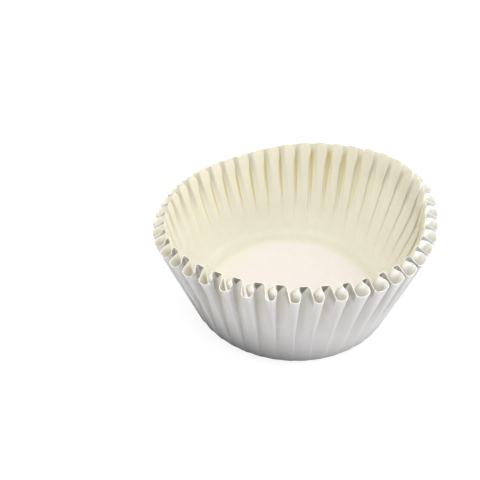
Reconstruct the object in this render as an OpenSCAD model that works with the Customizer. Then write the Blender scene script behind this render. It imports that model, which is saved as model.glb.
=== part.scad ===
// Cupcake liner: a round of thin paper pressed into a cup with a flat floor and a pleated wall.
// The cup stands on the underside of its floor at z = 0, and the z axis is its axis.
// Sizes are in millimetres, angles in degrees.

/* [Cup] */
// diameter of the flat floor, up to where the heel starts to curve
floor_diameter = 44.8; // [24:0.1:90]
// outer radius of the rounded heel between floor and wall
heel_radius = 3.6; // [1:0.1:8]
// straight length of the wall from the heel to the rim, along the pleat crests
wall_length = 26; // [12:0.1:60]
// lean of the wall outwards from upright
wall_lean = 17.5; // [5:0.1:35]
// thickness of the paper
paper = 0.1; // [0.05:0.01:0.3]

/* [Pleats] */
// number of pleats around the wall
pleat_count = 44; // [24:1:72]
// depth of a pleat at the rim, square to the wall
pleat_depth = 3.4; // [0.8:0.1:4.5]
// plain band of wall between the heel and the points where the pleats start
plain_band = 0.5; // [0.3:0.1:6]
// part of the pitch that the outer fold takes at the rim
crest_share = 0.32; // [0.2:0.01:0.6]
// part of the pitch that the inner fold takes at the rim
valley_share = 0.54; // [0.2:0.01:0.6]
// sideways shift of the inner fold from the middle between two crests, as a part of the pitch
pleat_skew = 0.2; // [0:0.01:0.25]
// length cut off at each crease, which rounds it
crease_round = 0.5; // [0.1:0.01:0.8]
// how much farther the paper reaches at the inner folds than at the crests
rim_step = 0.6; // [0:0.1:2]

/* [Hidden] */
// overlap of the floor disc and the ring that carries the wall
floor_lap = 3;
floor_radius = floor_diameter / 2;
// steps of the heel curve, and heights of the pleat rows as a part of the pleated wall
heel_steps = 3;
pleat_rows = [0, 0.1, 0.3, 0.62, 1];
// where a pleat starts, as parts of the pitch: its steep side, its inner fold, and the end of its sloping side
start_side = 0.03;
start_valley = 0.06;
start_slope = 0.75;
// how fast a pleat widens and deepens above its start
widen_power = 2.4;
deepen_power = 0.75;
pitch_angle = 360 / pleat_count;
// direction up the wall and direction into the cup, as [outwards, up]
wall_up = [sin(wall_lean), cos(wall_lean)];
wall_in = [-cos(wall_lean), sin(wall_lean)];
heel_end = [floor_radius + heel_radius * cos(wall_lean), heel_radius * (1 - sin(wall_lean))];
pleat_reach = wall_length - plain_band;

// unit vector, and the point at distance e from p on the way to q
function unit(v) = v / norm(v);
function toward(p, q, e) = p + e * unit(q - p);

// growth of the folds with the height f above the pleat start, 0 to 1
function widen(f, first, last) = first + (last - first) * (1 - pow(1 - f, widen_power));
function depth(f) = pleat_depth * pow(f, deepen_power);

// point of the crest line at the height f of the pleated wall
function crest_point(f) = heel_end + (plain_band + pleat_reach * f) * wall_up;
function pitch(f) = 2 * PI * crest_point(f)[0] / pleat_count;

// corners of one pleat as [along the pitch, into the cup]: crest, crest, inner fold, inner fold
function corners(f) =
    let (p = pitch(f))
    let (middle = 0.5 - pleat_skew)
    let (edge = crest_share / 2)
    let (near = p * widen(f, edge + start_side, middle - valley_share / 2))
    let (far = p * widen(f, edge + start_side + start_valley, middle + valley_share / 2))
    let (next = p * widen(f, start_slope, 1 - edge))
    [[next - p, 0], [p * edge, 0], [near, depth(f)], [far, depth(f)], [next, 0]];

// the same pleat with every crease rounded by a short facet: eight points
function pleat(f) =
    let (c = corners(f))
    let (short = min([for (i = [0:3]) norm(c[i + 1] - c[i])]))
    let (e = min(crease_round, 0.3 * short))
    [for (i = [0:3]) each [toward(c[i], c[i + 1], e), toward(c[i + 1], c[i], e)]];

// direction into the cup at point i of a pleat, lengthened so that the paper keeps its thickness
function square_left(d) = [-d[1], d[0]];
function offset_at(pts, i, p) =
    let (before = i == 0 ? pts[7] - [p, 0] : pts[i - 1])
    let (after = i == 7 ? pts[0] + [p, 0] : pts[i + 1])
    let (n1 = square_left(unit(pts[i] - before)))
    let (n2 = square_left(unit(after - pts[i])))
    (n1 + n2) / (1 + n1 * n2);

// point of the cup from its profile place [outwards, up] and its angle
function on_cup(place, angle) = [place[0] * cos(angle), place[0] * sin(angle), place[1]];

// row of the pleated wall at the height f; side 0 is the outer face, side 1 the inner face
function wall_row(f, side) =
    let (p = pitch(f))
    let (pts = pleat(f))
    [for (k = [0:pleat_count - 1]) for (i = [0:7])
        let (angle = pitch_angle * (k + pts[i][0] / p))
        let (inward = pts[i][1])
        let (reach = rim_step * inward / pleat_depth)
        let (move = side * paper * offset_at(pts, i, p))
        let (place = crest_point(f) + (inward + move[1]) * wall_in + reach * wall_up)
        on_cup(place, angle) + move[0] * [-sin(angle), cos(angle), 0]];

// row of the heel or floor, with four points to a pleat
function plain_row(place) =
    let (p = pitch(0))
    let (pts = pleat(0))
    [for (k = [0:pleat_count - 1]) for (i = [0:2:6]) on_cup(place, pitch_angle * (k + pts[i][0] / p))];

// profile of the floor ring and the heel on one side of the paper
function plain_profile(side) =
    let (r = heel_radius - side * paper)
    let (from = -90)
    let (turn = (90 - wall_lean) / heel_steps)
    concat(
        [[floor_radius - floor_lap, side * paper]],
        [for (i = [0:heel_steps])
            [floor_radius + r * cos(from + i * turn), heel_radius + r * sin(from + i * turn)]]
    );

function face_rows(side) =
    concat([for (q = plain_profile(side)) plain_row(q)], [for (f = pleat_rows) wall_row(f, side)]);

// running start of each row in the list of points
function sums(v, i = 0, total = 0) = i == len(v) ? [] : concat([total], sums(v, i + 1, total + v[i]));

// triangles between two rows: equal rows, or one row with twice the points of the other
function band(a, na, b, nb) =
    na == nb ? [for (j = [0:na - 1]) let (n = (j + 1) % na) each
        [[a + j, b + j, b + n], [a + j, b + n, a + n]]]
    : na < nb ? [for (j = [0:na - 1]) let (n = (j + 1) % na) let (m = 2 * j) let (w = (m + 2) % nb) each
        [[a + j, b + m, b + m + 1], [a + j, b + m + 1, a + n], [a + n, b + m + 1, b + w]]]
    : [for (j = [0:nb - 1]) let (n = (j + 1) % nb) let (m = 2 * j) let (w = (m + 2) % na) each
        [[b + j, a + m + 1, a + m], [b + j, b + n, a + m + 1], [b + n, a + w, a + m + 1]]];

// flat disc that closes the floor
module floor_disc() {
    color("#f7efe6")
        cylinder(r = floor_radius - floor_lap / 2, h = paper, $fn = 4 * pleat_count);
}

// ring of floor, rounded heel and pleated wall as one folded sheet with two faces and a cut edge
module pleated_wall() {
    outer = face_rows(0);
    inner = face_rows(1);
    count = len(outer);
    rows = concat(outer, [for (i = [count - 1:-1:0]) inner[i]]);
    sizes = [for (r = rows) len(r)];
    start = sums(sizes);
    total = len(rows);
    points = [for (r = rows) each r];
    faces = [for (i = [0:total - 1]) let (n = (i + 1) % total) each
        band(start[i], sizes[i], start[n], sizes[n])];
    color("#f3f0e4")
        polyhedron(points = points, faces = faces, convexity = 12);
}

module liner() {
    union() {
        floor_disc();
        pleated_wall();
    }
}

liner();
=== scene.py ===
# Cupcake liner: a white baking cup of thin paper with a pleated wall, standing on a pale floor.
import math

import bpy
from mathutils import Matrix, Vector


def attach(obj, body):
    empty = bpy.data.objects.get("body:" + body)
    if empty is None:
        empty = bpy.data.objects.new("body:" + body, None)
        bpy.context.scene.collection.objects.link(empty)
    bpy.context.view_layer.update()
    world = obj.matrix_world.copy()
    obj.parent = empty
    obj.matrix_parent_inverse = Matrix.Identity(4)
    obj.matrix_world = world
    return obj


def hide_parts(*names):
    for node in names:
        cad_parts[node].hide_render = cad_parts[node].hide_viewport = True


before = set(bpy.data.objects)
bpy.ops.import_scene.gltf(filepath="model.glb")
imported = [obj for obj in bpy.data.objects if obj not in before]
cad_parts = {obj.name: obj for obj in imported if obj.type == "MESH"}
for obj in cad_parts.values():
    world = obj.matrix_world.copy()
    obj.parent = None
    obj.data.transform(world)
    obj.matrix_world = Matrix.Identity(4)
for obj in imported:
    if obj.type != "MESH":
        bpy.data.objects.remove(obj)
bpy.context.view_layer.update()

# Sizes of the cup in millimetres and degrees. All but the valley share and the skew are those of the solid.
FLOOR_DIAMETER = 44.8
HEEL_RADIUS = 3.6
WALL_LENGTH = 26.0
WALL_LEAN = 17.5
PAPER = 0.1
PLEATS = 44
PLEAT_DEPTH = 3.4
CREST_SHARE = 0.32
VALLEY_SHARE = 0.48
PLEAT_SKEW = 0.13
RIM_STEP = 0.6

# Way along the paper from the middle of the floor to its edge and to the rim.
FLOOR_EDGE = FLOOR_DIAMETER / 2
RIM = FLOOR_EDGE + HEEL_RADIUS * math.radians(90 - WALL_LEAN) + WALL_LENGTH
# Millimetres in a metre.
PER_METRE = 1000.0

# Columns of one pleat, which has five corners with an arc and a middle point each, and rows of its strip.
CORNERS = 5
ARC_STEPS = 4
FOLD_COLUMNS = ARC_STEPS + 2
COLUMNS = CORNERS * FOLD_COLUMNS
FLOOR_ROWS = 8
HEEL_ROWS = 6
WALL_ROWS = 21
ROWS = FLOOR_ROWS + HEEL_ROWS + WALL_ROWS
# How much closer the wall's rows lie towards the rim, where the folds are deepest.
ROW_CROWDING = 0.5
# Fewer columns towards the middle of the floor: last row of each band, and columns that fall together.
FLOOR_GROUPS = ((5, 2), (3, 5), (1, COLUMNS))
# Shift of the floor's even columns against the folds, as a part of the pitch.
FLOOR_SHIFT = 0.19
# Added to a quotient of whole numbers before it is rounded.
NUDGE = 0.001
# Points closer together than this become one, in millimetres.
MERGE_DISTANCE = 0.004
# Edges that turn more than this stay sharp, in degrees.
SHARP_ANGLE = 55

# Camera, fitted to the photograph. Angles are in degrees, the lens and the place of the cup's middle in
# pixels, distances in metres and the sensor's width in millimetres.
IMAGE_SIZE = 480
CAMERA_DOWN = 37.8
CAMERA_ROLL = -0.71
CAMERA_TURN = -3.71
CAMERA_FOCAL = 579.8
CAMERA_DISTANCE = 0.13995
CUP_IN_IMAGE = (294.25, 215.68)
CUP_MIDDLE = (0, 0, 0.025)
SENSOR_WIDTH = 36
NEAREST_SEEN = 0.005
FARTHEST_SEEN = 10


class Term:
    """Socket of a node tree that takes part in Python expressions."""

    def __init__(self, graph, socket):
        self.graph = graph
        self.socket = socket

    def math(self, operation, *others):
        return self.graph.add("ShaderNodeMath", [self, *others], operation=operation)

    def __add__(self, other):
        return self.math("ADD", other)

    def __sub__(self, other):
        return self.math("SUBTRACT", other)

    def __mul__(self, other):
        return self.math("MULTIPLY", other)

    def __truediv__(self, other):
        return self.math("DIVIDE", other)

    def __pow__(self, other):
        return self.math("POWER", other)

    def __neg__(self):
        return self.math("MULTIPLY", -1.0)

    def __radd__(self, other):
        return self.math("ADD", other)

    def __rmul__(self, other):
        return self.math("MULTIPLY", other)

    def __rsub__(self, other):
        return self.graph.add("ShaderNodeMath", [other, self], operation="SUBTRACT")

    def __rtruediv__(self, other):
        return self.graph.add("ShaderNodeMath", [other, self], operation="DIVIDE")

    def held(self, low=0.0, high=1.0):
        """The value held between two limits."""
        return self.math("MAXIMUM", low).math("MINIMUM", high)

    def is_near(self, whole):
        """1 where the value is this whole number, else 0."""
        return self.math("COMPARE", float(whole), 0.5)

    def whole_part(self):
        return (self + NUDGE).math("FLOOR")

    def blend(self, first, second):
        """first where this is 0, second where it is 1."""
        return first + (second - first) * self

    def eased(self, low, high):
        """0 at low and below it, 1 at high and above it, with a smooth way between them."""
        t = ((self - low) / (high - low)).held()
        return t * t * (3.0 - 2.0 * t)


class Graph:
    """Node tree that is filled by calls and expressions."""

    def __init__(self, tree):
        self.tree = tree

    def add(self, kind, values=(), out=0, **settings):
        """New node: its settings first, then the values or links of its sockets.

        Returns the output that out names, or a list where out is a tuple, or nothing where there is none.
        """
        node = self.tree.nodes.new(kind)
        for name, setting in settings.items():
            setattr(node, name, setting)
        pairs = values.items() if isinstance(values, dict) else enumerate(values)
        for key, value in pairs:
            socket = self.find(node.inputs, key)
            if isinstance(value, Term):
                self.tree.links.new(value.socket, socket)
            else:
                socket.default_value = value
        if isinstance(out, tuple):
            return [Term(self, self.find(node.outputs, key)) for key in out]
        return Term(self, self.find(node.outputs, out)) if node.outputs else None

    @staticmethod
    def find(sockets, key):
        """Socket by its place, its identifier or its name."""
        if isinstance(key, int):
            return sockets[key]
        for socket in sockets:
            if socket.identifier == key:
                return socket
        return sockets[key]


def material_graph(material):
    """Empty node tree of a material or world."""
    material.use_nodes = True
    material.node_tree.nodes.clear()
    return Graph(material.node_tree)


def linear(code):
    """Linear colour of a hex code."""
    parts = [int(code[i:i + 2], 16) / 255 for i in (1, 3, 5)]
    return [c / 12.92 if c < 0.04045 else ((c + 0.055) / 1.055) ** 2.4 for c in parts] + [1.0]


# Shape of the cup

LINER_INPUTS = {
    "Floor diameter": FLOOR_DIAMETER,
    "Heel radius": HEEL_RADIUS,
    "Wall length": WALL_LENGTH,
    "Wall lean": WALL_LEAN,
    "Pleats": PLEATS,
    "Pleat depth": PLEAT_DEPTH,
    "Crest share": CREST_SHARE,
    "Valley share": VALLEY_SHARE,
    "Pleat skew": PLEAT_SKEW,
    "Rim step": RIM_STEP,
    "Deepening": 1.45,
    "Side bulge": 0.1,
    "Pinch": 0.12,
    "Crest round": 0.8,
    "Crease round": 0.5,
    "Wander": 0.22,
    "Back slant": 5.0,
    "Back opening": 1.2,
    "Right loops": 1.0,
    "Left loops": 0.6,
    "Right tuck": 0.12,
    "Right opening": 1.5,
    "Left pinch": 0.2,
    "Seed": 7.0,
}

# Plain band between the edge of the floor and the points where the pleats start.
PLAIN_BAND = 1.0
# Where the creases of a pleat start, as parts of the pitch: the first crease of the crest, the near side of
# the inner fold, counted from the end of the crest, and its far side.
CREST_START = 0.05
NEAR_START = 0.2
FAR_START = 0.4
# How far the crest hangs over its own share at the rim, as a part of the pitch.
CREST_OVERHANG = 0.04
# Heights of the pinch below the rim, as parts of the pleated wall: it comes, doubles and goes.
PINCH_COMES = (0.15, 0.5)
PINCH_DOUBLES = (0.78, 0.92)
PINCH_GOES = (0.94, 1.0)
# An arc takes at most this part of the shorter of the two sides beside its corner.
LONGEST_CUT = 0.44
# Sides of the inner fold: the columns where each one starts to count and where it starts to stop, the heights
# over which it comes and goes, and how much of the near side goes.
NEAR_COLUMNS = (15.0, 23.0)
FAR_COLUMNS = (22.0, 28.0)
FADE_COLUMNS = 2.0
NEAR_COMES = (0.6, 0.88)
NEAR_GOES = (0.94, 1.0)
NEAR_LOSS = 0.75
FAR_COMES = (0.15, 0.5)
FAR_GOES = (0.88, 1.0)

# Height at which the warp of the cup has its full size, in millimetres, and the most of it higher up.
WARP_HEIGHT = 27.0
MOST_WARP = 1.1
# Wander of the folds: scale of its noise, offset from the seed, and amount. It changes slowly up the wall.
SIDE_WANDER = (6.5, 0.0, 1.5)
OUTWARD_WANDER = (5.0, 11.0, 1.0)
UPWARD_WANDER = (6.0, 23.0, 0.8)
WANDER_CLIMB = 0.006
# Waves around the cup that move the rim outwards and upwards, its drop all round, and the lowest that it
# sinks, which it reaches softly. All are in millimetres.
RIM_OUT = {"sine twice": 0.54, "cosine twice": 0.1, "cosine": -0.22}
RIM_UP = {"cosine": 1.33, "sine": -1.04, "sine twice": 1.31, "cosine twice": -0.66}
RIM_DROP = 1.18
LOWEST_RIM = -3.2
DROP_SOFTNESS = 0.6
# Fuller part of the rim: its direction and reach in radians, and its moves in millimetres.
FULL_AT = 0.42
FULL_REACH = 0.7
FULL_OUT = 1.25
FULL_UP = 0.7
# Directions over which the changes to the folds come in: 1 is towards the named side, -1 away from it.
BACK_OPENS = (-0.2, 0.7)
RIGHT_OPENS = (0.4, 0.95)
RIGHT_WIDENS = (-0.05, 0.6)
LEFT_WIDENS = (0.3, 0.9)
RIGHT_TUCKS = (0.2, 0.8)
LEFT_PINCHES = (-0.5, 0.5)
FRONT_PINCHES = (0.0, 0.4)
BACK_SLANTS = (-0.5, 0.6)
# Part of the warp's height over which the right opening goes.
OPENING_GOES = (0.7, 1.0)
# Waves of the floor in millimetres, the scale of their noise and its offset from the seed, and the height
# at which they have gone.
FLOOR_WAVE = 0.06
FLOOR_WAVE_SCALE = 0.09
FLOOR_WAVE_OFFSET = 31.0
FLOOR_WAVE_TOP = 0.4


def new_tree(name, inputs):
    """Geometry tree with named number inputs, and the terms that read them."""
    tree = bpy.data.node_groups.new(name, "GeometryNodeTree")
    tree.interface.new_socket(name="Geometry", in_out="OUTPUT", socket_type="NodeSocketGeometry")
    for label, value in inputs.items():
        kind = "NodeSocketInt" if label == "Pleats" else "NodeSocketFloat"
        socket = tree.interface.new_socket(name=label, in_out="INPUT", socket_type=kind)
        socket.default_value = int(value) if label == "Pleats" else value
    graph = Graph(tree)
    return graph, dict(zip(inputs, graph.add("NodeGroupInput", out=tuple(inputs))))


def pick(index, values):
    """The value at a whole-number index."""
    return sum(index.is_near(i) * value for i, value in enumerate(values))


def distance(start, end):
    dx, dy = end[0] - start[0], end[1] - start[1]
    return (dx * dx + dy * dy).math("SQRT")


def toward(start, end, reach):
    """Point at the distance reach from start on the way to end."""
    share = reach / distance(start, end)
    return start[0] + (end[0] - start[0]) * share, start[1] + (end[1] - start[1]) * share


def fold_line(size, f, pitch, column):
    """Place of a column on the fold line at the height f: along the pitch, and into the cup."""
    middle, edge = 0.5 - size["Pleat skew"], size["Crest share"] / 2.0
    half = size["Valley share"] / 2.0
    depth = size["Pleat depth"] * f ** size["Deepening"]
    pinch = (f.eased(*PINCH_COMES) + f.eased(*PINCH_DOUBLES)) * (1.0 - f.eased(*PINCH_GOES)) * size["Pinch"]
    places = [
        pitch * (f * f).blend(CREST_START, -edge - CREST_OVERHANG),
        pitch * edge,
        pitch * (edge + f * f * size["Side bulge"]),
        pitch * (f.blend(edge + NEAR_START, middle - half) - pinch),
        pitch * f.blend(FAR_START, middle + half),
    ]
    depths = [0.0, 0.0, 0.5, 1.0, 1.0]

    def corner(j):
        turn = (j / CORNERS).whole_part()
        place = j - CORNERS * turn
        return pick(place, places) + turn * pitch, depth * pick(place, depths)

    k = (column / FOLD_COLUMNS).whole_part()
    step = column - FOLD_COLUMNS * k
    before, here, after = corner(k - 1.0), corner(k), corner(k + 1.0)
    place = k - CORNERS * (k / CORNERS).whole_part()
    at_crest = 1.0 - place.math("GREATER_THAN", 1.5)
    shorter = distance(here, before).math("MINIMUM", distance(here, after))
    cut = at_crest.blend(size["Crease round"], size["Crest round"]).math("MINIMUM", LONGEST_CUT * shorter)
    first, last = toward(here, before, cut), toward(here, after, cut)
    t = (step / ARC_STEPS).held()
    s = 1.0 - t
    between = step.math("GREATER_THAN", ARC_STEPS + 0.5)

    def on_arc(axis):
        arc = s * s * first[axis] + 2.0 * s * t * here[axis] + t * t * last[axis]
        return between.blend(arc, (here[axis] + after[axis]) / 2.0)

    return on_arc(0), on_arc(1)


def between_columns(column, rise_from, fall_from):
    """1 on some columns of the pleat and 0 on the others."""
    fallen = ((column - fall_from) / FADE_COLUMNS).held()
    return ((column - rise_from) / FADE_COLUMNS).held() * (1.0 - fallen)


def pleat_strip(graph, size, lean):
    """Strip of one pleat from the middle of the floor to the rim, with the numbers that later steps read."""
    add = graph.add
    strip = add("GeometryNodeMeshGrid", [1.0, 1.0, COLUMNS + 1, ROWS + 1])
    grid_x, grid_y = add("ShaderNodeSeparateXYZ", [add("GeometryNodeInputPosition")], out=(0, 1))
    column = ((grid_x + 0.5) * COLUMNS).math("ROUND")
    row = ((grid_y + 0.5) * ROWS).math("ROUND")
    for last_row, group in FLOOR_GROUPS:
        coarse = (column / group + NUDGE).math("ROUND") * group
        column = row.math("LESS_THAN", last_row + 0.5).blend(column, coarse)

    # Profile of the cup: how far out and how high a row lies, and its way along the paper.
    bend = (math.pi / 2 - lean) * ((row - FLOOR_ROWS) / HEEL_ROWS).held()
    climb = ((row - FLOOR_ROWS - HEEL_ROWS) / WALL_ROWS).held()
    climb = climb * (1.0 + ROW_CROWDING - ROW_CROWDING * climb)
    floor_radius = size["Floor diameter"] / 2.0
    floor_run = floor_radius * (row / FLOOR_ROWS).held()
    wall_run = size["Wall length"] * climb
    out = floor_run + size["Heel radius"] * bend.math("SINE") + wall_run * lean.math("SINE")
    up = size["Heel radius"] * (1.0 - bend.math("COSINE")) + wall_run * lean.math("COSINE")
    rise = floor_run + size["Heel radius"] * bend + wall_run

    # Fold at the row's height f, which goes from 0 where the pleats start to 1 at the rim.
    slope = size["Heel radius"] * (math.pi / 2 - lean) + size["Wall length"]
    f = ((rise - floor_radius - PLAIN_BAND) / (slope - PLAIN_BAND)).held(0.0001, 1.0)
    pitch = out * (2 * math.pi) / size["Pleats"]
    across, inward = fold_line(size, f, pitch, column)
    folded = row.eased(FLOOR_ROWS - 2.0, FLOOR_ROWS + 1.0)
    fraction = folded.blend(column / COLUMNS - FLOOR_SHIFT, across / pitch)
    angle = fraction * (2 * math.pi) / size["Pleats"]
    step_up = size["Rim step"] * inward / size["Pleat depth"]
    radius = out - inward * bend.math("SINE") + step_up * bend.math("COSINE")
    height = up + inward * bend.math("COSINE") + step_up * bend.math("SINE")
    place = add("ShaderNodeCombineXYZ", [radius * angle.math("COSINE"), radius * angle.math("SINE"), height])

    # Sideways moves of the crests' loops and of both sides of the inner fold, for the warp to use.
    full_depth = size["Pleat depth"] * f ** size["Deepening"]
    loop = (fraction - fraction.math("GREATER_THAN", 0.5)) * pitch * (1.0 - inward / full_depth).held()
    near_side = between_columns(column, *NEAR_COLUMNS) * pitch
    near_side = near_side * f.eased(*NEAR_COMES) * (1.0 - NEAR_LOSS * f.eased(*NEAR_GOES))
    far_side = between_columns(column, *FAR_COLUMNS) * pitch
    far_side = far_side * f.eased(*FAR_COMES) * (1.0 - f.eased(*FAR_GOES))

    for label, value, domain in (
            ("Fold", inward / size["Pleat depth"], "POINT"),
            ("Rise", rise, "POINT"),
            ("Across", fraction, "CORNER"),
            ("Part", column / FOLD_COLUMNS, "CORNER"),
            ("Loop", loop * folded, "POINT"),
            ("Near side", near_side, "POINT"),
            ("Far side", far_side, "POINT")):
        strip = add("GeometryNodeStoreNamedAttribute", {"Geometry": strip, "Name": label, "Value": value},
                    data_type="FLOAT", domain=domain)
    return add("GeometryNodeSetPosition", {"Geometry": strip, "Position": place})


def warped(graph, size, cup, lean):
    """The cup with hand-made unevenness: wandering folds, a rim that rises and sinks, and a wavy floor."""
    add = graph.add
    spot = add("GeometryNodeInputPosition")
    x, y, z = add("ShaderNodeSeparateXYZ", [spot], out=(0, 1, 2))
    theta = y.math("ARCTAN2", x)
    cosine, sine = theta.math("COSINE"), theta.math("SINE")
    share = (z / WARP_HEIGHT).held(0.0, MOST_WARP)

    def noise(where, scale, offset):
        """Noise from -1 to 1. Each one has its own offset from the seed."""
        shade = add("ShaderNodeTexNoise", {"Vector": where, "W": size["Seed"] + offset, "Scale": scale,
                                           "Detail": 1.0, "Roughness": 0.5}, noise_dimensions="4D")
        return (shade - 0.5) * 2.0

    def stored(label):
        return add("GeometryNodeInputNamedAttribute", {"Name": label}, out="Attribute", data_type="FLOAT")

    # Directions as the photograph shows them: 1 at the right or the back, -1 at the left or the front.
    turned = theta - math.radians(CAMERA_TURN)
    to_right, to_back = turned.math("COSINE"), turned.math("SINE")
    waves = {"cosine": to_right, "sine": to_back}
    waves["cosine twice"], waves["sine twice"] = (2.0 * turned).math("COSINE"), (2.0 * turned).math("SINE")

    def moved(amounts):
        return sum(amount * waves[name] for name, amount in amounts.items())

    # Wander of the folds and warp of the rim, which grow with the height.
    around = add("ShaderNodeCombineXYZ", [cosine, sine, z * WANDER_CLIMB])

    def wander(scale, offset, amount):
        return noise(around, scale, offset) * (share * size["Wander"]) * amount

    side = wander(*SIDE_WANDER)
    radial = wander(*OUTWARD_WANDER) + share * moved(RIM_OUT)
    sag = (moved(RIM_UP) - RIM_DROP).math("SMOOTH_MAX", LOWEST_RIM, DROP_SOFTNESS)
    lift = wander(*UPWARD_WANDER) + share * sag
    from_full = (turned - FULL_AT) / FULL_REACH
    full = (1.0 - from_full * from_full).held()
    radial = radial + share * share * full * full * FULL_OUT
    lift = lift + share * share * full * full * FULL_UP

    # Inner folds lie farther out at the back, and below the rim at the right.
    below_rim = 1.0 - share.eased(*OPENING_GOES)
    back_opening = to_back.eased(*BACK_OPENS) * size["Back opening"]
    right_opening = to_right.eased(*RIGHT_OPENS) * below_rim * size["Right opening"]
    opened = stored("Fold") * (back_opening + right_opening)
    radial = radial + opened * lean.math("COSINE")
    lift = lift - opened * lean.math("SINE")

    # Wider loops at the right and left, slimmer inner folds at the right, pinched loops at the left front,
    # and folds that lean sideways at the back.
    to_left, to_front = -to_right, -to_back
    right_widening = to_right.eased(*RIGHT_WIDENS) * size["Right loops"]
    left_widening = to_left.eased(*LEFT_WIDENS) * size["Left loops"]
    side = side + stored("Loop") * share * share * (right_widening + left_widening)
    side = side + stored("Far side") * to_right.eased(*RIGHT_TUCKS) * size["Right tuck"]
    pinched = stored("Near side") * to_left.eased(*LEFT_PINCHES) * to_front.eased(*FRONT_PINCHES)
    side = side - pinched * size["Left pinch"]
    slant = (1.0 - share).held() * to_back.eased(*BACK_SLANTS) * size["Back slant"]
    side = side - slant * (x * x + y * y).math("SQRT") * math.radians(1)

    wave = noise(spot, FLOOR_WAVE_SCALE, FLOOR_WAVE_OFFSET)
    floor_wave = (wave + 1.0) * FLOOR_WAVE * (1.0 - (z / FLOOR_WAVE_TOP).held())
    offset = add("ShaderNodeCombineXYZ", [
        radial * cosine - side * sine, radial * sine + side * cosine, lift + floor_wave])
    return add("GeometryNodeSetPosition", {"Geometry": cup, "Offset": offset})


def liner_tree(material):
    """Tree of the cup's outer face: one pleat, repeated around the axis and warped."""
    graph, size = new_tree("Pleated_cup", LINER_INPUTS)
    add = graph.add
    lean = size["Wall lean"] * math.radians(1)
    strip = pleat_strip(graph, size, lean)
    spots = add("GeometryNodePoints", {"Count": size["Pleats"]})
    number = add("GeometryNodeInputIndex")
    turn = add("ShaderNodeCombineXYZ", [0.0, 0.0, number * (2 * math.pi) / size["Pleats"]])
    cup = add("GeometryNodeInstanceOnPoints", {"Points": spots, "Instance": strip, "Rotation": turn})
    cup = add("GeometryNodeRealizeInstances", [cup])
    cup = add("GeometryNodeMergeByDistance", {"Geometry": cup, "Distance": MERGE_DISTANCE})
    cup = warped(graph, size, cup, lean)
    cup = add("GeometryNodeTransform", {"Geometry": cup, "Scale": (1 / PER_METRE,) * 3})
    cup = add("GeometryNodeSetShadeSmooth", {"Geometry": cup})
    cup = add("GeometryNodeRealizeInstances", [cup])
    cup = add("GeometryNodeSetMaterial", {"Geometry": cup, "Material": material})
    add("NodeGroupOutput", [cup])
    return graph.tree


def with_modifier_applied(cup, modifier):
    """The cup with the modifier's result as its plain mesh."""
    evaluated = cup.evaluated_get(bpy.context.evaluated_depsgraph_get())
    mesh = bpy.data.meshes.new_from_object(evaluated)
    cup.modifiers.remove(modifier)
    cup.data = mesh
    return mesh


def make_liner(materials):
    """The cup as one closed sheet of paper, with materials for its outside, its inside and its cut edge."""
    cup = bpy.data.objects.new("Cupcake_liner", bpy.data.meshes.new("Liner_seed"))
    bpy.context.scene.collection.objects.link(cup)
    pleats = cup.modifiers.new("Pleats", "NODES")
    pleats.node_group = liner_tree(materials[0])
    for item in pleats.node_group.interface.items_tree:
        if item.in_out == "INPUT":
            value = LINER_INPUTS[item.name]
            pleats[item.identifier] = int(value) if item.name == "Pleats" else float(value)
    sheet = with_modifier_applied(cup, pleats)
    sheet.materials.clear()
    for material in materials:
        sheet.materials.append(material)
    sheet.polygons.foreach_set("material_index", [0] * len(sheet.polygons))

    thick = cup.modifiers.new("Paper_thickness", "SOLIDIFY")
    thick.thickness = PAPER / PER_METRE
    thick.offset = -1.0
    thick.use_even_offset = True
    thick.use_rim = True
    thick.material_offset = 1
    thick.material_offset_rim = 2
    shell = with_modifier_applied(cup, thick)
    shell.name = "Cupcake_liner"
    shell.set_sharp_from_angle(angle=math.radians(SHARP_ANGLE))
    return cup


# Paper

# Scales of the paper's patterns, per metre. The fibres are drawn out and turned, and the press marks run
# up the wall: many of them around the axis, and slow changes along the paper.
CLOUD_SCALE = 240.0
GRAIN_SCALE = 4200.0
FIBRE_SCALES = (700.0, 700.0, 3600.0)
FIBRE_TURN = (0.5, 0.3, 0.8)
MARKS_AROUND = 180.0
MARKS_UP = 0.12
# How much each pattern lightens or darkens the paper, and how much it raises the surface.
SHADES = {"clouds": 0.07, "fibres": 0.05, "marks": 0.03}
HEIGHTS = {"grain": 0.25, "fibres": 0.45, "clouds": 0.5, "marks": 0.35}
# The shade is stronger in green and blue, which makes dark spots warmer.
GREEN_SHADE = 1.05
BLUE_SHADE = 1.4
BUMP_STRENGTH = 0.5
BUMP_DISTANCE = 0.00006
ROUGHNESS = 0.7
ROUGHNESS_CHANGE = 0.12
SPECULAR = 0.12


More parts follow.
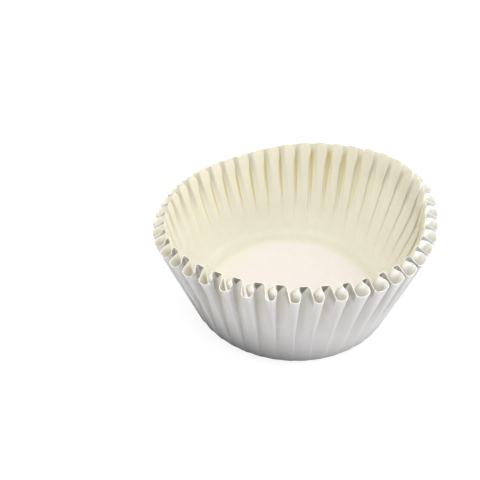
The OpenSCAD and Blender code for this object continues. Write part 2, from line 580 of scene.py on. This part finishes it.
def paper(name, ground, patches, look_through, light_through):
    """Thin baking paper: fibres, faint clouds and press marks, with light that passes through it.

    Each patch is a colour and a function for how much of it lies on a place. That is given by x and y in
    metres, the way along the paper in millimetres (rise), the depth in the fold from 0 to 1 (fold), the part
    of the pitch from the middle of a crest (across) and the place counted in corners of the pleat (part).
    """
    material = bpy.data.materials.new(name)
    graph = material_graph(material)
    add = graph.add
    spot = add("ShaderNodeTexCoord", out="Object")
    rise, fold, across, part = (
        add("ShaderNodeAttribute", out="Fac", attribute_name=label)
        for label in ("Rise", "Fold", "Across", "Part"))
    x, y = add("ShaderNodeSeparateXYZ", [spot], out=(0, 1))

    stretched = add("ShaderNodeMapping", {"Vector": spot, "Rotation": FIBRE_TURN, "Scale": FIBRE_SCALES})
    stretch = MARKS_AROUND / (x * x + y * y + 0.00001).math("SQRT")
    marks_at = add("ShaderNodeCombineXYZ", [x * stretch, y * stretch, rise * MARKS_UP])
    patterns = {
        "clouds": add("ShaderNodeTexNoise",
                      {"Vector": spot, "Scale": CLOUD_SCALE, "Detail": 4.0, "Roughness": 0.6}),
        "grain": add("ShaderNodeTexNoise",
                     {"Vector": spot, "Scale": GRAIN_SCALE, "Detail": 3.0, "Roughness": 0.7}),
        "fibres": add("ShaderNodeTexNoise",
                      {"Vector": stretched, "Scale": 1.0, "Detail": 4.0, "Distortion": 0.8}),
        "marks": add("ShaderNodeTexNoise", {"Vector": marks_at, "Scale": 1.0, "Detail": 3.0}),
    }

    def mixed(factor, first, second, blend_type="MIX"):
        return add("ShaderNodeMix", {"Factor_Float": factor, "A_Color": first, "B_Color": second},
                   out="Result_Color", data_type="RGBA", blend_type=blend_type)

    at = {"x": x, "y": y, "rise": rise, "fold": fold, "across": across, "part": part}
    colour = linear(ground)
    for tint, cover in patches:
        colour = mixed(cover(**at), colour, linear(tint))
    shade = sum((patterns[label] - 0.5) * amount for label, amount in SHADES.items())
    tone = add("ShaderNodeCombineColor", [1.0 + shade, 1.0 + shade * GREEN_SHADE, 1.0 + shade * BLUE_SHADE])
    colour = mixed(1.0, colour, tone, "MULTIPLY")

    height = sum(patterns[label] * amount for label, amount in HEIGHTS.items())
    bump = add("ShaderNodeBump", {"Strength": BUMP_STRENGTH, "Distance": BUMP_DISTANCE, "Height": height})
    surface = add("ShaderNodeBsdfPrincipled", {
        "Base Color": colour,
        "Roughness": ROUGHNESS + (patterns["fibres"] - 0.5) * ROUGHNESS_CHANGE,
        "Specular IOR Level": SPECULAR,
        "Normal": bump,
    })
    through = add("ShaderNodeBsdfTranslucent", {"Color": linear(light_through)})
    add("ShaderNodeOutputMaterial", [add("ShaderNodeMixShader", [look_through, surface, through])])
    return material


def wall_and_heel(rise, **at):
    """Everything but the floor."""
    return rise.eased(FLOOR_EDGE - 2.0, FLOOR_EDGE + 0.3)


def creamy_floor_ring(x, y, **at):
    """Outside of the rosier middle of the floor, which lies a little to one side."""
    u, v = (x - 0.004) / 0.0192, y / 0.0225
    return (u * u + v * v).math("SQRT").eased(0.88, 1.12)


def painted_heel_shadow(rise, x, **at):
    """Painted shadow at the heel on the outside: darker paper that reaches higher and is stronger towards the
    left.
    """
    to_left = (x * -PER_METRE).eased(-14.0, 16.0)
    low = (1.0 - (rise - 23.0) / to_left.blend(11.0, 21.0)).held()
    return (rise.eased(20.9, 22.9) * low * low * to_left.blend(0.9, 1.5)).held()


def painted_heel_light(rise, **at):
    """Painted light: a lighter band just above the heel on the inside, which lifts the shade that falls
    there.
    """
    return rise.eased(23.5, 26.5) * (1.0 - rise.eased(27.0, 35.0))


def painted_valley_light(rise, fold, **at):
    """Painted light in the hollows between the crests on the outside: warmer and a little lighter paper,
    which softens the shade that falls there.
    """
    return rise.eased(25.0, 40.0) * fold.eased(0.2, 0.8)


def painted_upper_wall_shade(rise, fold, **at):
    """Painted shade on the inner folds of the upper wall on the inside."""
    return rise.eased(28.0, 46.0) * fold.eased(0.1, 0.9)


def painted_rim_shadow(rise, across, y, **at):
    """Painted shadow under the rim: dark wedges at the inner folds, and a band beside them on the sloping
    sides, fainter towards the back.
    """
    below = RIM - rise
    wedge = (2.4 - 11.0 * (across - 0.38).math("ABSOLUTE") - below).eased(0.0, 0.9)
    band = (3.6 - below).eased(0.0, 2.0) * across.eased(0.5, 0.66) * (1.0 - across.eased(0.84, 0.92))
    return wedge.math("MAXIMUM", band * 0.5) * (y * -PER_METRE).eased(6.0, 28.0).blend(0.15, 1.0)


def painted_loop_light(rise, part, **at):
    """Painted light: white on the inside of the steep sides near the rim, for light from above that reaches
    into the open loops.
    """
    return rise.eased(RIM - 8.0, RIM - 4.0) * part.eased(1.2, 1.8) * (1.0 - part.eased(2.8, 3.2))


def painted_pocket_shade(rise, fold, across, x, **at):
    """Painted shade, dark yellow, in the narrow pockets between the inner folds, which fades towards heel,
    rim and right.
    """
    tall = rise.eased(31.0, 42.0) * (1.0 - rise.eased(RIM - 3.2, RIM - 0.8))
    tall = tall * (1.0 - 0.8 * (x * PER_METRE).eased(15.0, 28.0))
    return tall * fold.eased(0.24, 0.04) * (1.0 - (across + 0.1).math("ABSOLUTE").eased(0.06, 0.18))


# Floor, light and camera

# Half the side of the floor, its gap below the cup, and its greys: under the cup and far from it for the
# light that it sends back, where the dark grey under the cup is a painted shadow that keeps bounce light off
# the heel, then what the camera sees of it.
FLOOR_HALF = 1.2
FLOOR_GAP = 0.00005
PAINTED_SHADOW_GREY = 0.05
GREY_FAR_AWAY = 0.7
GREY_REACH = (0.035, 0.2)
SHADOWED_GREY = 0.22
FLOOR_GLOW = 0.82
WHITE = (1, 1, 1, 1)
# Strength of the surroundings as the cup and as the camera see them.
SOFT_WORLD = 0.85
WHITE_WORLD = 1.0
# Point that the lamps face.
LIT_POINT = (0, 0, 0.015)


def seen_directly(graph):
    """1 for rays from the camera and those that gloss or clear things send on, else 0."""
    rays = graph.add("ShaderNodeLightPath", out=("Is Camera Ray", "Is Glossy Ray", "Is Transmission Ray"))
    return (rays[0] + rays[1] + rays[2]).held()


def make_floor():
    """Pale floor that the camera sees as white, with the cup's soft shadow on it."""
    half = FLOOR_HALF
    corners = [(-half, -half, 0), (half, -half, 0), (half, half, 0), (-half, half, 0)]
    mesh = bpy.data.meshes.new("Floor")
    mesh.from_pydata(corners, [], [(0, 1, 2, 3)])
    floor = bpy.data.objects.new("Floor", mesh)
    floor.location = (0, 0, -FLOOR_GAP)
    bpy.context.scene.collection.objects.link(floor)
    material = bpy.data.materials.new("Floor_white")
    graph = material_graph(material)
    add = graph.add
    x, y = add("ShaderNodeSeparateXYZ", [add("ShaderNodeTexCoord", out="Object")], out=(0, 1))
    # painted shadow: the floor sends back less light near the cup
    grey = (x * x + y * y).math("SQRT").eased(*GREY_REACH).blend(PAINTED_SHADOW_GREY, GREY_FAR_AWAY)
    plain = add("ShaderNodeBsdfDiffuse", {"Color": add("ShaderNodeCombineColor", [grey, grey, grey])})
    shadowed = add("ShaderNodeBsdfDiffuse", {"Color": (SHADOWED_GREY, SHADOWED_GREY, SHADOWED_GREY, 1)})
    glow = add("ShaderNodeEmission", {"Color": WHITE, "Strength": FLOOR_GLOW})
    white = add("ShaderNodeAddShader", [shadowed, glow])
    add("ShaderNodeOutputMaterial", [add("ShaderNodeMixShader", [seen_directly(graph), plain, white])])
    mesh.materials.append(material)


def make_world():
    """White surroundings, which light the cup more softly than the camera sees them."""
    world = bpy.data.worlds.new("Studio")
    bpy.context.scene.world = world
    graph = material_graph(world)
    add = graph.add
    soft = add("ShaderNodeBackground", {"Color": WHITE, "Strength": SOFT_WORLD})
    white = add("ShaderNodeBackground", {"Color": WHITE, "Strength": WHITE_WORLD})
    add("ShaderNodeOutputWorld", [add("ShaderNodeMixShader", [seen_directly(graph), soft, white])])


def make_lamp(name, place, size, power):
    """Square soft box that faces the cup."""
    light = bpy.data.lights.new(name, "AREA")
    light.size = size
    light.energy = power
    lamp = bpy.data.objects.new(name, light)
    lamp.location = place
    lamp.rotation_euler = (Vector(LIT_POINT) - Vector(place)).to_track_quat("-Z", "Y").to_euler()
    bpy.context.scene.collection.objects.link(lamp)


def make_camera():
    """Camera with the photograph's place, tilt and lens."""
    down, roll, turn = math.radians(CAMERA_DOWN), math.radians(CAMERA_ROLL), math.radians(CAMERA_TURN)
    upright = Vector((0, 0, 1))
    right = Vector((math.cos(turn), math.sin(turn), 0))
    ahead = Vector((-math.sin(turn), math.cos(turn), 0))
    up = math.sin(down) * ahead + math.cos(down) * upright
    forward = math.cos(down) * ahead - math.sin(down) * upright
    aside = (CUP_IN_IMAGE[0] - IMAGE_SIZE / 2) / CAMERA_FOCAL * CAMERA_DISTANCE
    below = -(CUP_IN_IMAGE[1] - IMAGE_SIZE / 2) / CAMERA_FOCAL * CAMERA_DISTANCE
    axis_x = math.cos(roll) * right + math.sin(roll) * up
    axis_y = -math.sin(roll) * right + math.cos(roll) * up
    lens = bpy.data.cameras.new("Camera")
    lens.sensor_width = SENSOR_WIDTH
    lens.lens = CAMERA_FOCAL / IMAGE_SIZE * SENSOR_WIDTH
    lens.clip_start, lens.clip_end = NEAREST_SEEN, FARTHEST_SEEN
    camera = bpy.data.objects.new("Camera", lens)
    camera.matrix_world = Matrix((axis_x, axis_y, -forward)).transposed().to_4x4()
    camera.location = Vector(CUP_MIDDLE) - aside * right - below * up - CAMERA_DISTANCE * forward
    bpy.context.scene.collection.objects.link(camera)
    bpy.context.scene.camera = camera


# The outside's cooler white and the inside's creamier walls are partly the paper's own white and partly
# painted light: cool shade outside, warm bounce light inside.
outside = paper("Paper_outside", "#efeeee", [
    ("#f2f1f4", wall_and_heel),
    # painted shadow at the heel
    ("#6c6f75", painted_heel_shadow),
    # painted light in the outside hollows
    ("#f9f7ef", painted_valley_light),
    # painted shadow under the rim
    ("#77756a", painted_rim_shadow),
], 0.2, "#f6f6f7")
inside = paper("Paper_inside", "#f7efec", [
    ("#f4efe2", creamy_floor_ring),
    ("#f0ecda", wall_and_heel),
    # painted light just above the heel
    ("#faf7e5", painted_heel_light),
    # painted shade on the upper inner folds
    ("#e4dfcc", painted_upper_wall_shade),
    # painted shade in the pockets
    ("#e2d48f", painted_pocket_shade),
    # painted light inside the open loops
    ("#ffffff", painted_loop_light),
], 0.24, "#f9f8f2")
cut_edge = paper("Paper_cut_edge", "#fcfbf6", [], 0.3, "#f9f8f3")
liner = make_liner([outside, inside, cut_edge])
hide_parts("liner")
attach(liner, "root")

make_floor()
make_world()
make_lamp("Key_light", place=(0.04, -0.10, 0.52), size=0.6, power=1.62)
make_lamp("Right_light", place=(0.48, -0.18, 0.08), size=0.5, power=2.8)
make_lamp("Left_light", place=(-0.40, -0.35, 0.08), size=0.4, power=1.1)
make_camera()
bpy.context.scene.view_settings.view_transform = "Standard"

print("liner", len(liner.data.vertices), "points", len(liner.data.polygons), "faces")
